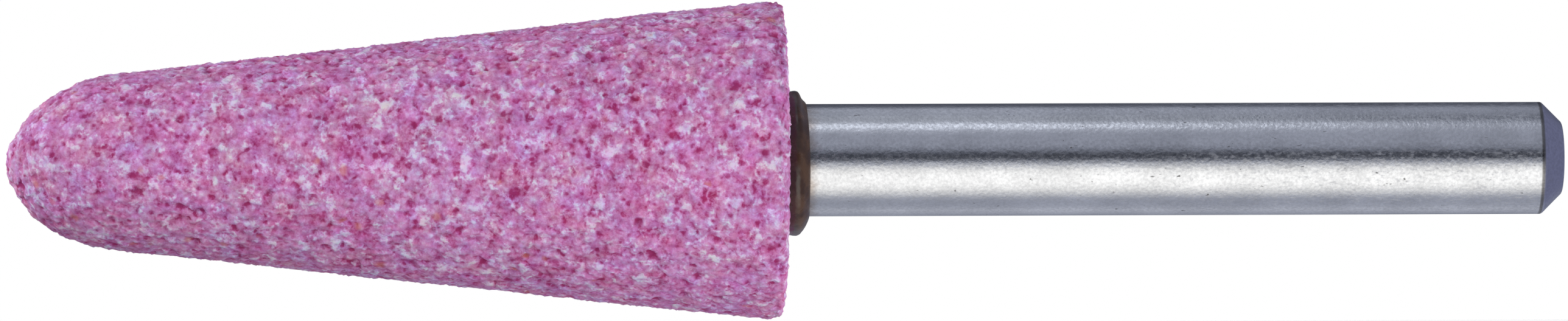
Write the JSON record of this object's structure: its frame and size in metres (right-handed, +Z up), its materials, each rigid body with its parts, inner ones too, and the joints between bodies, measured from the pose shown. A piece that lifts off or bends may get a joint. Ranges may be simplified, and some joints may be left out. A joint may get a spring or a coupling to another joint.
{
  "type": "mounted point",
  "caption": "Tapered pink abrasive head with a rounded nose, cemented onto a plain round steel shank that a collet grips.",
  "frame": {"origin": "centre of the flat end of the shank, on the tool's axis", "axes": "+X along the tool's axis, from the head to the shank's free end, so the nose points to -X; +Z up"},
  "size_m": [0.083, 0.017, 0.017],
  "materials": {
    "abrasive": "matte",
    "steel": "satin",
    "resin": "gloss"
  },
  "bodies": {
    "root": {"abrasive_head": "abrasive", "shank": "steel", "cement": "resin"}
  },
  "joints": []
}
